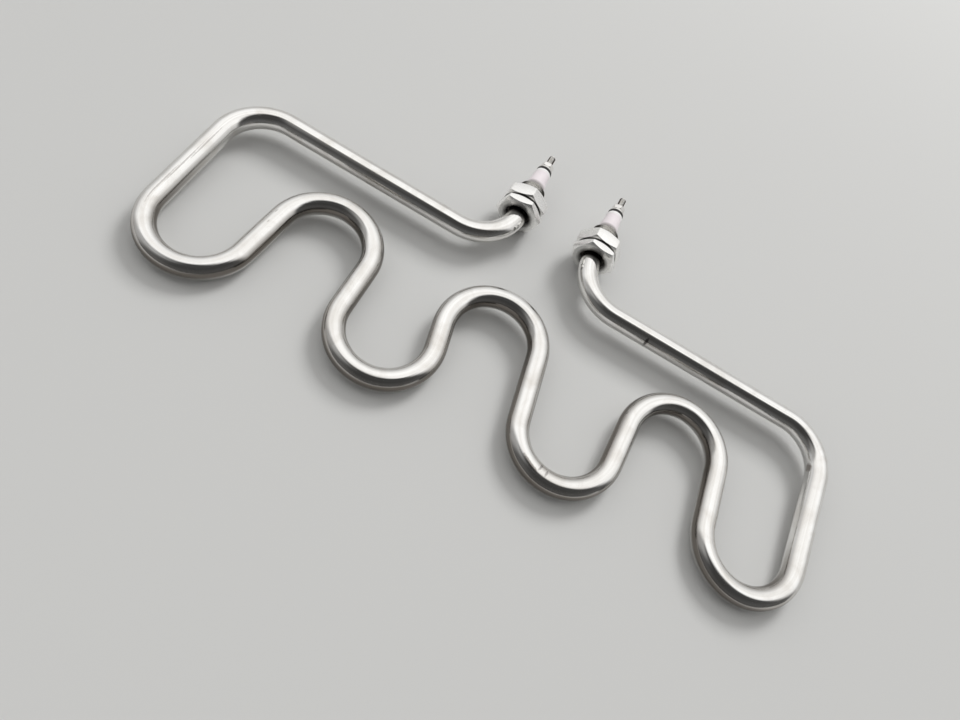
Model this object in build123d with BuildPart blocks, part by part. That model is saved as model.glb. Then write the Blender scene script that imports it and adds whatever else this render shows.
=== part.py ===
from build123d import *

import os
from itertools import pairwise
from math import asin, atan2, cos, degrees, hypot, radians, sin

# Tubular heating element for a tank or an oven wall. A sealed stainless tube is bent into three loops
# in one plane, and each of its ends passes through the wall in a threaded sleeve with two nuts.
# Frame, in millimetres: the tube lies in the XY plane, +Y runs out through the wall to the terminals,
# and the origin is midway between the two sleeves, on the wall face that the gaskets seal against.

# Tube
tube_diameter = 12.0
tube_wall = 0.8
bend_radius = 26.0  # centreline of every bend, set by the bending tool
fill_clearance = 0.05  # powder to sheath, and powder to what it packs round

# Plan of the bent tube
back_run_depth = 32.5  # wall face to the centreline of the back runs
front_bend_depth = 111.5  # wall face to the centres of the front row of bends
loop_rise = 24.0  # from the front row of bends back to the centres of the loop tops
loop_splay = 1.0  # what the loops' pitch has over four bend radii
end_splay = 2.5  # what lies over two bend radii between an outer loop top and the bend at the side
loop_lean = [(0.0, 0.0), (-5.0, 2.0), (0.0, 0.0)]  # how far each loop top was bent off its place
loops_offset = 3.0  # middle of the loops to the right of the middle of the sleeves

# Electrical core
core_diameter = 4.0  # cold pins and heating coil
cold_run = 4.0  # how far each cold pin goes on past the terminal bend
fill_end = 9.5  # stations along +Y, from the wall face
seal_length = 4.0
tube_end = 17.5

# Wall fitting
terminal_spacing = 50.0
sleeve_diameter = 16.0  # outside of the M16 x 1.5 thread
sleeve_thread_depth = 0.49  # from the outside of that thread to its mean diameter
sleeve_start = -4.5
sleeve_end = 16.5
sleeve_chamfer = 1.0
braze_clearance = 0.05
thread_clearance = 0.05
gasket_thickness = 1.0
gasket_diameter = 21.0
nut_across_flats = 24.0
inner_nut_thickness = 5.0
outer_nut_thickness = 8.5
nut_face_diameter = 22.8  # the flat ring left by the corner chamfers
nut_chamfer_angle = 30.0
nut_countersink = 0.6

# Terminal
insulator_length = 15.0
insulator_base_diameter = 11.8
insulator_top_diameter = 9.6
insulator_rim = 0.8
insulator_foot = 0.4
spigot_length = 4.0
pin_clearance = 0.05
ring_diameter = 8.8
ring_thickness = 1.2
washer_diameter = 9.0
washer_hole_diameter = 4.3
washer_thickness = 0.8
spring_diameter = 7.6
spring_thickness = 1.1
spring_slit = 0.5
spring_slit_slant = 25.0
terminal_nut_across_flats = 7.0
terminal_nut_thickness = 3.2
terminal_nut_face_diameter = 6.6
terminal_nut_countersink = 0.3
stud_thread_depth = 0.23  # from the outside of the M4 thread to its mean diameter
stud_reach = 7.7  # past the terminal nut
stud_rounding = 0.6

# How each fitting was left turned when it was tightened: angles of a nut's corner above +X
fittings = [
    ("left", -1, {"inner_nut": 10.0, "outer_nut": 20.0, "terminal_nut": 8.0, "slit": 70.0}),
    ("right", 1, {"inner_nut": -7.0, "outer_nut": -7.0, "terminal_nut": 22.0, "slit": 115.0}),
]

# Sizes worked out from the ones above
tube_radius = tube_diameter / 2
bore_radius = tube_radius - tube_wall
fill_radius = bore_radius - fill_clearance
core_radius = core_diameter / 2
core_bore = core_radius + fill_clearance
loop_pitch = 4 * bend_radius + loop_splay
outer_loop_x = loop_pitch * (len(loop_lean) - 1) / 2
side_bend_x = outer_loop_x + 2 * bend_radius + end_splay
seal_end = fill_end + seal_length
insulator_end = tube_end + insulator_length
ring_end = insulator_end + ring_thickness
washer_end = ring_end + washer_thickness
spring_end = washer_end + spring_thickness
terminal_nut_end = spring_end + terminal_nut_thickness
stud_end = terminal_nut_end + stud_reach
sleeve_radius = sleeve_diameter / 2
sleeve_held_radius = sleeve_radius - sleeve_thread_depth  # where the nuts hold it
stud_held_radius = core_radius - stud_thread_depth


def plan_of_bends():
    """Centres of all bends in order from the left terminal, each with its turn: 1 left, -1 right."""
    back_y = -back_run_depth
    front_y = -front_bend_depth
    left_corner_x = loops_offset - side_bend_x
    right_corner_x = loops_offset + side_bend_x
    bends = [
        (-terminal_spacing / 2 - bend_radius, back_y + bend_radius, -1),
        (left_corner_x, back_y - bend_radius, 1),
        (left_corner_x, front_y, 1),
    ]
    for index, (lean_x, lean_y) in enumerate(loop_lean):
        loop_x = loops_offset - outer_loop_x + index * loop_pitch
        bends.append((loop_x + lean_x, front_y + loop_rise + lean_y, -1))
        if index < len(loop_lean) - 1:
            bends.append((loop_x + loop_pitch / 2, front_y, 1))
    bends += [
        (right_corner_x, front_y, 1),
        (right_corner_x, back_y - bend_radius, 1),
        (terminal_spacing / 2 + bend_radius, back_y + bend_radius, -1),
    ]
    return bends


def run_heading(here, there):
    """Direction of the straight run that is tangent to both bends. A turn of 0 marks a plain point."""
    across = bend_radius * (there[2] - here[2])
    apart = hypot(there[0] - here[0], there[1] - here[1])
    return atan2(there[1] - here[1], there[0] - here[0]) - asin(across / apart)


def on_bend(bend, heading):
    """The point of a bend where the tube runs along heading."""
    x, y, turn = bend
    return (x + turn * bend_radius * sin(heading), y - turn * bend_radius * cos(heading))


def lay_route(start, bends, end):
    """Adds to the BuildLine in use the straight runs and tangent bends from start to end."""
    stops = [(*start, 0), *bends, (*end, 0)]
    headings = [run_heading(here, there) for here, there in pairwise(stops)]
    for stop, (here, there) in enumerate(pairwise(stops)):
        heading = headings[stop]
        entry = on_bend(there, heading)
        Line(on_bend(here, heading), entry)
        if there[2]:
            turned = degrees(headings[stop + 1] - heading) * there[2] % 360
            direction = (cos(heading), sin(heading))
            JernArc(start=entry, tangent=direction, radius=bend_radius, arc_size=turned * there[2])


def section_plane(line):
    """Plane across the start of a route."""
    return Plane(origin=line @ 0, z_dir=line % 0)


def axis_plane(x, station, angle=0.0):
    """Plane across a sleeve's axis: its normal is +Y and its x_dir is turned up from +X by angle."""
    tilt = radians(angle)
    return Plane(origin=(x, station, 0), x_dir=(cos(tilt), 0, sin(tilt)), z_dir=(0, 1, 0))


def turning_plane(plane):
    """Plane for a turned profile: x is the radius and y the height above the given plane."""
    return Plane(origin=plane.origin, x_dir=plane.x_dir, z_dir=-plane.y_dir)


def turn_profile(plane, points, mode=Mode.ADD):
    """Revolves a closed outline of (radius, height) points about the given plane's normal."""
    with BuildSketch(turning_plane(plane)) as outline:
        with BuildLine():
            Polyline(*points, close=True)
        make_face()
    revolve(outline.sketch, axis=Axis(plane.origin, plane.z_dir), mode=mode)


def ring(plane, outer_radius, inner_radius, thickness, mode=Mode.ADD):
    """Extrudes a flat ring that stands on the plane."""
    with BuildSketch(plane) as flat:
        Circle(outer_radius)
        Circle(inner_radius, mode=Mode.SUBTRACT)
    extrude(flat.sketch, amount=thickness, mode=mode)


def hex_nut(plane, across_flats, thickness, face_diameter, hole_radius, countersink):
    """Adds a hexagonal nut that stands on the plane, chamfered at its corners and its hole."""
    with BuildSketch(plane) as blank:
        hexagon = RegularPolygon(across_flats / 2, 6, major_radius=False)
    extrude(blank.sketch, amount=thickness)
    corner = hexagon.radius
    face = face_diameter / 2
    drop = (corner - face) * sin(radians(nut_chamfer_angle)) / cos(radians(nut_chamfer_angle))
    outline = [
        (hole_radius + countersink, 0),
        (face, 0),
        (corner, drop),
        (corner, thickness - drop),
        (face, thickness),
        (hole_radius + countersink, thickness),
        (hole_radius, thickness - countersink),
        (hole_radius, countersink),
    ]
    turn_profile(plane, outline, mode=Mode.INTERSECT)


def write_step(piece, name):
    """Names a finished piece and writes it to its own file."""
    piece.part.label = name
    export_step(piece.part, f"parts/{name}.step")


os.makedirs("parts", exist_ok=True)
bends = plan_of_bends()
left_x = -terminal_spacing / 2
right_x = terminal_spacing / 2

# Sheath: drawn tube, filled, then bent round the same tool at every bend
with BuildPart() as sheath_tube:
    with BuildLine() as sheath_route:
        lay_route((left_x, tube_end), bends, (right_x, tube_end))
    with BuildSketch(section_plane(sheath_route.wire())):
        Circle(tube_radius)
        Circle(bore_radius, mode=Mode.SUBTRACT)
    sweep(path=sheath_route.wire())
write_step(sheath_tube, "sheath_tube")

# Magnesium oxide powder, packed hard between the sheath and the core
with BuildPart() as magnesia_fill:
    with BuildLine() as fill_route:
        lay_route((left_x, fill_end), bends, (right_x, fill_end))
    with BuildSketch(section_plane(fill_route.wire())):
        Circle(fill_radius)
        Circle(core_bore, mode=Mode.SUBTRACT)
    sweep(path=fill_route.wire())
write_step(magnesia_fill, "magnesia_fill")

# Heating coil: the envelope of the fine helix, from one cold pin's end to the other's
coil_left = (left_x - bend_radius - cold_run, -back_run_depth)
coil_right = (right_x + bend_radius + cold_run, -back_run_depth)
with BuildPart() as resistance_coil:
    with BuildLine() as coil_route:
        lay_route(coil_left, bends[1:-1], coil_right)
    with BuildSketch(section_plane(coil_route.wire())):
        Circle(core_radius)
    sweep(path=coil_route.wire())
write_step(resistance_coil, "resistance_coil")

for side, direction, turned in fittings:
    x = direction * terminal_spacing / 2
    terminal_bend = bends[0] if direction < 0 else bends[-1]

    # Cold pin: bent with the sheath, and threaded M4 where it stands out of the insulator. The thread is
    # a plain cylinder, of its outer diameter where it stands free and of its mean diameter in the nut.
    with BuildPart() as terminal_pin:
        with BuildLine() as pin_route:
            pin_end = (x + direction * (bend_radius + cold_run), -back_run_depth)
            turn = 1 if direction > 0 else -1
            lay_route((x, stud_end), [(terminal_bend[0], terminal_bend[1], turn)], pin_end)
        with BuildSketch(section_plane(pin_route.wire())):
            Circle(core_radius)
        sweep(path=pin_route.wire())
        fillet(terminal_pin.edges().sort_by(Axis.Y)[-1], stud_rounding)
        held_plane = axis_plane(x, spring_end)
        ring(held_plane, core_bore, stud_held_radius, terminal_nut_thickness, mode=Mode.SUBTRACT)
    write_step(terminal_pin, f"{side}_terminal_pin")

    # Resin plug that keeps damp out of the powder
    with BuildPart() as end_seal:
        ring(axis_plane(x, fill_end), fill_radius, core_bore, seal_length)
    write_step(end_seal, f"{side}_end_seal")

    # Sleeve: turned, threaded M16 and brazed on the sheath. Its thread is a plain cylinder in two steps,
    # as on the pin: mean diameter as far as the outer nut's far face, outer diameter beyond it.
    with BuildPart() as threaded_sleeve:
        sleeve_bore = tube_radius + braze_clearance
        sleeve_outline = [
            (sleeve_bore, sleeve_start),
            (sleeve_radius - sleeve_chamfer, sleeve_start),
            (sleeve_held_radius, sleeve_start + sleeve_chamfer - sleeve_thread_depth),
            (sleeve_held_radius, outer_nut_thickness),
            (sleeve_radius, outer_nut_thickness),
            (sleeve_radius, sleeve_end - sleeve_chamfer),
            (sleeve_radius - sleeve_chamfer, sleeve_end),
            (sleeve_bore, sleeve_end),
        ]
        turn_profile(axis_plane(x, 0), sleeve_outline)
    write_step(threaded_sleeve, f"{side}_threaded_sleeve")

    # Thin nut on the heated side of the wall
    nut_bore = sleeve_held_radius + thread_clearance
    with BuildPart() as inner_nut:
        hex_nut(
            axis_plane(x, -gasket_thickness - inner_nut_thickness, turned["inner_nut"]),
            nut_across_flats,
            inner_nut_thickness,
            nut_face_diameter,
            nut_bore,
            nut_countersink,
        )
    write_step(inner_nut, f"{side}_inner_nut")

    # Gasket that the inner nut presses on the wall
    with BuildPart() as sealing_gasket:
        gasket_bore = sleeve_radius + thread_clearance
        ring(axis_plane(x, -gasket_thickness), gasket_diameter / 2, gasket_bore, gasket_thickness)
    write_step(sealing_gasket, f"{side}_sealing_gasket")

    # Nut on the terminal side of the wall
    with BuildPart() as outer_nut:
        hex_nut(
            axis_plane(x, 0, turned["outer_nut"]),
            nut_across_flats,
            outer_nut_thickness,
            nut_face_diameter,
            nut_bore,
            nut_countersink,
        )
    write_step(outer_nut, f"{side}_outer_nut")

    # Insulator: fired steatite, with a spigot in the mouth of the sheath and a tapered body
    with BuildPart() as ceramic_insulator:
        pin_hole = core_radius + pin_clearance
        base = insulator_base_diameter / 2
        top = insulator_top_diameter / 2
        insulator_outline = [
            (pin_hole, -spigot_length),
            (fill_radius, -spigot_length),
            (fill_radius, 0),
            (base - insulator_foot, 0),
            (base, insulator_foot),
            (top, insulator_length - insulator_rim),
            (top - insulator_rim, insulator_length),
            (pin_hole, insulator_length),
        ]
        turn_profile(axis_plane(x, tube_end), insulator_outline)
    write_step(ceramic_insulator, f"{side}_ceramic_insulator")

    # Dark ring that seals the pin on top of the insulator
    with BuildPart() as pin_seal_ring:
        ring(axis_plane(x, insulator_end), ring_diameter / 2, pin_hole, ring_thickness)
    write_step(pin_seal_ring, f"{side}_pin_seal_ring")

    with BuildPart() as flat_washer:
        ring(axis_plane(x, ring_end), washer_diameter / 2, washer_hole_diameter / 2, washer_thickness)
    write_step(flat_washer, f"{side}_flat_washer")

    # Spring washer, pressed flat, with its slanted slit
    with BuildPart() as spring_washer:
        spring_plane = axis_plane(x, washer_end, turned["slit"])
        ring(spring_plane, spring_diameter / 2, washer_hole_diameter / 2, spring_thickness)
        middle_of_washer = spring_plane.origin + spring_plane.z_dir * spring_thickness / 2
        slit_plane = Plane(origin=middle_of_washer, x_dir=spring_plane.z_dir, z_dir=spring_plane.x_dir)
        with BuildSketch(slit_plane):
            Rectangle(3 * spring_thickness, spring_slit, rotation=spring_slit_slant)
        extrude(amount=spring_diameter, mode=Mode.SUBTRACT)
    write_step(spring_washer, f"{side}_spring_washer")

    with BuildPart() as terminal_nut:
        hex_nut(
            axis_plane(x, spring_end, turned["terminal_nut"]),
            terminal_nut_across_flats,
            terminal_nut_thickness,
            terminal_nut_face_diameter,
            stud_held_radius + thread_clearance,
            terminal_nut_countersink,
        )
    write_step(terminal_nut, f"{side}_terminal_nut")
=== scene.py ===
from itertools import pairwise
from math import asin, atan2, cos, hypot, pi, radians, sin, tan

import bmesh
import bpy
from mathutils import Matrix, Vector


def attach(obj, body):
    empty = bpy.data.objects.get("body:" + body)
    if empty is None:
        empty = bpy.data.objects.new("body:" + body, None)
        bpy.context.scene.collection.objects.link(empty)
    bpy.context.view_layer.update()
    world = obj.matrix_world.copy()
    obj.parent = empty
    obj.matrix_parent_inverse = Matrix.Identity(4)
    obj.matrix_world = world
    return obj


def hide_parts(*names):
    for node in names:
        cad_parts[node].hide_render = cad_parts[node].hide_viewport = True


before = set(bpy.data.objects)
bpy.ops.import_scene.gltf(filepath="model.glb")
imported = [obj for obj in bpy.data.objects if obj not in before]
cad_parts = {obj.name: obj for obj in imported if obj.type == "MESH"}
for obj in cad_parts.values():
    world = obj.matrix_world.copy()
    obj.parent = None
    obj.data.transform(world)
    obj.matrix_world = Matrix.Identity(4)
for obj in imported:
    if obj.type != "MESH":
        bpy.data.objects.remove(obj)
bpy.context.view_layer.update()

# ---------------------------------------------------------------------------------------------
# Heating coil. A fine helix of nickel-chrome wire, welded to a cold pin at each end and held in
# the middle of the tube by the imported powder. It keeps its plain bar, which the sheath hides.
# ---------------------------------------------------------------------------------------------


def give(tree, socket, value):
    """Gives an input a value, or another node's output to take."""
    if isinstance(value, bpy.types.NodeSocket):
        tree.links.new(value, socket)
    else:
        socket.default_value = value


def add_node(tree, kind, inputs=None, **settings):
    """Adds a node with these settings, and gives each named input what it takes."""
    made = tree.nodes.new(kind)
    for name, value in settings.items():
        setattr(made, name, value)
    for name, value in (inputs or {}).items():
        give(tree, made.inputs[name], value)
    return made


def start_finish(name, metallic, roughness=0.5):
    """A new material: the material itself, its node tree and its surface shader."""
    finish = bpy.data.materials.new(name)
    finish.use_nodes = True
    tree = finish.node_tree
    tree.nodes.clear()
    surface = add_node(tree, "ShaderNodeBsdfPrincipled", {"Metallic": metallic, "Roughness": roughness})
    add_node(tree, "ShaderNodeOutputMaterial", {"Surface": surface.outputs["BSDF"]})
    return finish, tree, surface


def blend(tree, share, low, high):
    """Goes from the low colour to the high one as share goes from 0 to 1."""
    return add_node(tree, "ShaderNodeMix", {0: share, 6: low, 7: high}, data_type="RGBA").outputs[2]


def spread(tree, value, low, high, start=0.0, end=1.0, how="LINEAR"):
    """Takes a value that runs from start to end to the range from low to high."""
    limits = {"Value": value, "From Min": start, "From Max": end, "To Min": low, "To Max": high}
    return add_node(tree, "ShaderNodeMapRange", limits, interpolation_type=how).outputs["Result"]


def combine(tree, how, first, second=None):
    """One sum of one or two values, such as ABSOLUTE or ADD."""
    inputs = {0: first} if second is None else {0: first, 1: second}
    return add_node(tree, "ShaderNodeMath", inputs, operation=how).outputs[0]


def times(tree, first, second):
    return combine(tree, "MULTIPLY", first, second)


def noise(tree, place, scale, detail, distortion=0.0):
    """Cloudy noise from 0 to 1."""
    inputs = {"Vector": place, "Scale": scale, "Detail": detail, "Distortion": distortion}
    return add_node(tree, "ShaderNodeTexNoise", inputs).outputs["Fac"]


def object_place(tree):
    return add_node(tree, "ShaderNodeTexCoord").outputs["Object"]


def dress(tree, surface, colour, roughness=None, height=None, strength=0.5, relief_depth=0.0):
    """Gives a surface its colour, its roughness and the relief that a height makes."""
    give(tree, surface.inputs["Base Color"], colour)
    if roughness is not None:
        give(tree, surface.inputs["Roughness"], roughness)
    if height is not None:
        relief = {"Height": height, "Strength": strength, "Distance": relief_depth}
        give(tree, surface.inputs["Normal"], add_node(tree, "ShaderNodeBump", relief).outputs["Normal"])


def finish_node(name, finish):
    """Gives a solid of the frame its finish."""
    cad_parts[name].data.materials.clear()
    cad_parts[name].data.materials.append(finish)


def coil_alloy():
    finish, tree, surface = start_finish("coil_alloy", 1.0)
    place = object_place(tree)
    wave = {"Vector": place, "Scale": 140.0, "Distortion": 0.6, "Detail": 1.0}
    turns = add_node(tree, "ShaderNodeTexWave", wave, bands_direction="DIAGONAL").outputs["Fac"]
    oxide = noise(tree, place, 260.0, 4.0)
    wire = blend(tree, oxide, (0.28, 0.25, 0.23, 1), (0.10, 0.10, 0.11, 1))
    dress(tree, surface, wire, spread(tree, oxide, 0.3, 0.6), turns, 0.8, 0.0004)
    return finish


finish_node("resistance_coil", coil_alloy())

# ---------------------------------------------------------------------------------------------
# Magnesium oxide powder. It is poured into the straight tube round the coil and packed hard when
# the tube is drawn down, so it ends up as one white, faintly granular mass.
# ---------------------------------------------------------------------------------------------


def magnesia_powder():
    finish, tree, surface = start_finish("magnesia_powder", 0.0, 0.95)
    place = object_place(tree)
    grains = noise(tree, place, 3200.0, 3.0)
    greyness = times(tree, grains, noise(tree, place, 70.0, 2.0))
    powder = blend(tree, greyness, (0.86, 0.85, 0.82, 1), (0.66, 0.65, 0.62, 1))
    dress(tree, surface, powder, None, grains, 0.5, 0.0001)
    return finish


finish_node("magnesia_fill", magnesia_powder())

# ---------------------------------------------------------------------------------------------
# Sheath. Bright drawn stainless tube, 12 mm across with a 0.8 mm wall, filled first and then bent
# cold round one tool at every bend. Drawing leaves faint lines along it, and bending leaves the
# tube a little flat outside each bend and uneven inside it.
# ---------------------------------------------------------------------------------------------
fitting_x = 0.0250
sides = (("left", -fitting_x), ("right", fitting_x))
sheath_radius = 0.00598
sheath_wall = 0.00078
bend_radius = 0.0260
sheath_end = 0.0175
sheath_length = 1.2553
sheath_step = 0.0017
sheath_around = 64
# The centre of each bend and its turn: 1 left, -1 right
bend_centres = [
    (-0.0510, -0.0065, -1),
    (-0.1565, -0.0585, 1),
    (-0.1565, -0.1115, 1),
    (-0.1020, -0.0875, -1),
    (-0.0495, -0.1115, 1),
    (-0.0020, -0.0855, -1),
    (0.0555, -0.1115, 1),
    (0.1080, -0.0875, -1),
    (0.1625, -0.1115, 1),
    (0.1625, -0.0585, 1),
    (0.0510, -0.0065, -1),
]


def bend_corners(start, centres, end):
    """The corners that the straight runs make when they are drawn on past the bends. A bend that
    turns far round has two, because the runs on either side of it hardly meet."""
    stops = [(*start, 0), *centres, (*end, 0)]
    headings = []
    for here, there in pairwise(stops):
        across = bend_radius * (there[2] - here[2])
        apart = hypot(there[0] - here[0], there[1] - here[1])
        headings.append(atan2(there[1] - here[1], there[0] - here[0]) - asin(across / apart))
    corners = [Vector((*start, 0))]
    for (x, y, turn), arrive, leave in zip(centres, headings, headings[1:]):
        turned = ((leave - arrive) * turn) % (2 * pi)
        steps = 2 if turned > radians(100) else 1
        reach = bend_radius / cos(turned / steps / 2)
        for step in range(steps):
            outward = arrive + turn * turned * (step + 0.5) / steps - turn * pi / 2
            corners.append(Vector((x + reach * cos(outward), y + reach * sin(outward), 0)))
    corners.append(Vector((*end, 0)))
    return corners


def add_inputs(tree, inputs):
    """Gives a node group a named input for each (label, kind, value)."""
    for label, kind, value in inputs:
        socket = tree.interface.new_socket(label, in_out="INPUT", socket_type="NodeSocket" + kind)
        if value is not None:
            socket.default_value = value


def start_shape_tree(name, inputs):
    """A new geometry tree with a named input for each size, and its inputs' sockets."""
    tree = bpy.data.node_groups.new(name, "GeometryNodeTree")
    add_inputs(tree, [("Geometry", "Geometry", None), *inputs, ("Finish", "Material", None)])
    tree.interface.new_socket("Geometry", in_out="OUTPUT", socket_type="NodeSocketGeometry")
    return tree, tree.nodes.new("NodeGroupInput").outputs


def end_shape_tree(tree, given, shape):
    """Closes a geometry tree: real faces, smooth, with the finish on them."""
    real = add_node(tree, "GeometryNodeRealizeInstances", {"Geometry": shape}).outputs[0]
    smooth = add_node(tree, "GeometryNodeSetShadeSmooth", {"Geometry": real}).outputs[0]
    finished = {"Geometry": smooth, "Material": given["Finish"]}
    finished = add_node(tree, "GeometryNodeSetMaterial", finished).outputs[0]
    add_node(tree, "NodeGroupOutput", {"Geometry": finished})


def keep(tree, geometry, name, value, kind="FLOAT_VECTOR"):
    """Stores a value on every point under a name, and gives back the geometry."""
    inputs = {"Geometry": geometry, "Name": name, "Value": value}
    stored = add_node(tree, "GeometryNodeStoreNamedAttribute", inputs, data_type=kind, domain="POINT")
    return stored.outputs["Geometry"]


def kept(tree, name, kind="FLOAT_VECTOR"):
    """Reads a stored value by its name."""
    return add_node(tree, "GeometryNodeInputNamedAttribute", {"Name": name}, data_type=kind).outputs[0]


def vector(tree, how, first, second=None, scale=None):
    """One sum of vectors. Length and dot product give back a value."""
    given = {0: first, 1: second, "Scale": scale}
    given = {name: value for name, value in given.items() if value is not None}
    made = add_node(tree, "ShaderNodeVectorMath", given, operation=how)
    return made.outputs["Value" if how in ("LENGTH", "DOT_PRODUCT") else "Vector"]


def split(tree, place):
    """The X, Y and Z of a vector."""
    return add_node(tree, "ShaderNodeSeparateXYZ", {0: place}).outputs


def join(tree, **parts):
    """A vector from the parts that are named. The others are 0."""
    return add_node(tree, "ShaderNodeCombineXYZ", parts).outputs["Vector"]


def sweep(tree, line, around, radius):
    """The wall that a circle leaves along a line."""
    circle = {"Resolution": around, "Radius": radius}
    circle = add_node(tree, "GeometryNodeCurvePrimitiveCircle", circle, mode="RADIUS").outputs["Curve"]
    swept = add_node(tree, "GeometryNodeCurveToMesh", {"Curve": line, "Profile Curve": circle})
    return swept.outputs["Mesh"]


def drawn_bar_tree():
    """Sweeps a round bar or tube along a line of corners, each eased to the bend radius. It keeps
    each point's place on the straight bar, as drawn_place, for the finish to follow."""
    tree, given = start_shape_tree(
        "drawn_bar",
        [
            ("Bend Radius", "Float", 0.026),
            ("Bar Radius", "Float", 0.006),
            ("Wall", "Float", 0.0008),
            ("Hollow", "Bool", True),
            ("Step", "Float", 0.0015),
            ("Around", "Int", 64),
            ("Flattening", "Float", 0.0),
            ("Unevenness", "Float", 0.0),
        ],
    )
    easing = {"Count": 64, "Radius": given["Bend Radius"], "Limit Radius": True}
    line = add_node(
        tree, "GeometryNodeFilletCurve", {"Curve": given["Geometry"], **easing}, mode="POLY"
    ).outputs["Curve"]
    line = add_node(
        tree, "GeometryNodeResampleCurve", {"Curve": line, "Length": given["Step"]}, mode="LENGTH"
    ).outputs["Curve"]
    line = add_node(tree, "GeometryNodeSetCurveNormal", {"Curve": line}, mode="Z_UP").outputs["Curve"]

    # How sharply the line turns at each point, towards the inside of the bend: 1 all through a bend
    count = add_node(tree, "GeometryNodeAttributeDomainSize", {"Geometry": line}, component="CURVE")
    last = combine(tree, "SUBTRACT", count.outputs["Point Count"], 1.0)
    index = add_node(tree, "GeometryNodeInputIndex").outputs[0]
    heading = add_node(tree, "GeometryNodeInputTangent").outputs[0]
    neighbours = []
    for place in (
        combine(tree, "MINIMUM", combine(tree, "ADD", index, 1.0), last),
        combine(tree, "MAXIMUM", combine(tree, "SUBTRACT", index, 1.0), 0.0),
    ):
        picked = {"Value": heading, "Index": place}
        picked = add_node(
            tree, "GeometryNodeFieldAtIndex", picked, data_type="FLOAT_VECTOR", domain="POINT"
        )
        neighbours.append(picked.outputs["Value"])
    gained = vector(tree, "SUBTRACT", *neighbours)
    per_turn = combine(tree, "DIVIDE", given["Bend Radius"], times(tree, given["Step"], 2.0))
    turning = {"Value": vector(tree, "SCALE", gained, scale=per_turn), "Iterations": 5}
    turning = add_node(tree, "GeometryNodeBlurAttribute", turning, data_type="FLOAT_VECTOR")

    line = keep(tree, line, "bar_turning", turning.outputs["Value"])
    line = keep(tree, line, "bar_heading", heading)
    line = keep(tree, line, "bar_middle", add_node(tree, "GeometryNodeInputPosition").outputs[0])
    along = add_node(tree, "GeometryNodeSplineParameter").outputs["Length"]
    line = keep(tree, line, "bar_along", along, "FLOAT")
    outside = sweep(tree, line, given["Around"], given["Bar Radius"])

    # The inside, turned to face the bore, and the rims that join it to the outside
    bore_radius = combine(tree, "SUBTRACT", given["Bar Radius"], given["Wall"])
    inside = sweep(tree, line, given["Around"], bore_radius)
    inside = add_node(tree, "GeometryNodeFlipFaces", {"Mesh": inside}).outputs["Mesh"]
    faces_beside = add_node(tree, "GeometryNodeInputMeshEdgeNeighbors").outputs["Face Count"]
    open_edge = combine(tree, "LESS_THAN", faces_beside, 1.5)
    rims = {"Mesh": outside, "Selection": open_edge, "Offset Scale": 0.0}
    rims = add_node(tree, "GeometryNodeExtrudeMesh", rims, mode="EDGES").outputs
    position = add_node(tree, "GeometryNodeInputPosition").outputs[0]
    middle = kept(tree, "bar_middle")
    spoke = vector(tree, "SUBTRACT", position, middle)
    inward = combine(tree, "DIVIDE", bore_radius, given["Bar Radius"])
    drawn_in = vector(tree, "ADD", middle, vector(tree, "SCALE", spoke, scale=inward))
    rims = {"Geometry": rims["Mesh"], "Selection": rims["Top"], "Position": drawn_in}
    rims = add_node(tree, "GeometryNodeSetPosition", rims).outputs["Geometry"]
    both = add_node(tree, "GeometryNodeJoinGeometry")
    for part in (rims, inside):
        tree.links.new(part, both.inputs[0])
    closed = {"Geometry": both.outputs[0], "Distance": 0.00002}
    closed = add_node(tree, "GeometryNodeMergeByDistance", closed).outputs["Geometry"]
    shell = {"Switch": given["Hollow"], "False": outside, "True": closed}
    shell = add_node(tree, "GeometryNodeSwitch", shell, input_type="GEOMETRY").outputs["Output"]

    # Place on the straight bar: across, up and along
    sideways = vector(tree, "CROSS_PRODUCT", (0.0, 0.0, 1.0), kept(tree, "bar_heading"))
    across = vector(tree, "DOT_PRODUCT", spoke, sideways)
    place = join(tree, X=across, Y=split(tree, spoke)["Z"], Z=kept(tree, "bar_along", "FLOAT"))
    shell = keep(tree, shell, "drawn_place", place)

    # Flattening outside the bends and unevenness inside them, always inwards
    towards = vector(tree, "DOT_PRODUCT", vector(tree, "NORMALIZE", spoke), kept(tree, "bar_turning"))
    inner_side = combine(tree, "MAXIMUM", towards, 0.0)
    outer_side = combine(tree, "MAXIMUM", times(tree, towards, -1.0), 0.0)
    stretched = vector(tree, "MULTIPLY", kept(tree, "drawn_place"), (210.0, 210.0, 120.0))
    swells = noise(tree, stretched, 1.0, 1.5)
    amount = combine(tree, "ADD", times(tree, inner_side, 1.5), 0.14)
    dip = times(tree, times(tree, swells, amount), given["Unevenness"])
    dip = combine(tree, "ADD", dip, times(tree, outer_side, given["Flattening"]))
    shift = vector(tree, "SCALE", spoke, scale=times(tree, dip, -1.0))
    shell = add_node(tree, "GeometryNodeSetPosition", {"Geometry": shell, "Offset": shift}).outputs[0]
    for name in ("bar_turning", "bar_heading", "bar_middle", "bar_along"):
        shell = add_node(tree, "GeometryNodeRemoveAttribute", {"Geometry": shell, "Name": name}).outputs[0]
    end_shape_tree(tree, given, shell)
    return tree


def add_object(name, data):
    """Puts a mesh or a curve in the scene as an object at the origin."""
    made = bpy.data.objects.new(name, data)
    bpy.context.scene.collection.objects.link(made)
    return made


def corner_line(name, corners):
    """A curve with one straight run from each corner to the next."""
    curve = bpy.data.curves.new(name, "CURVE")
    curve.dimensions = "3D"
    spline = curve.splines.new("POLY")
    spline.points.add(len(corners) - 1)
    for point, corner in zip(spline.points, corners):
        point.co = (*corner, 1)
    return add_object(name, curve)


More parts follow.
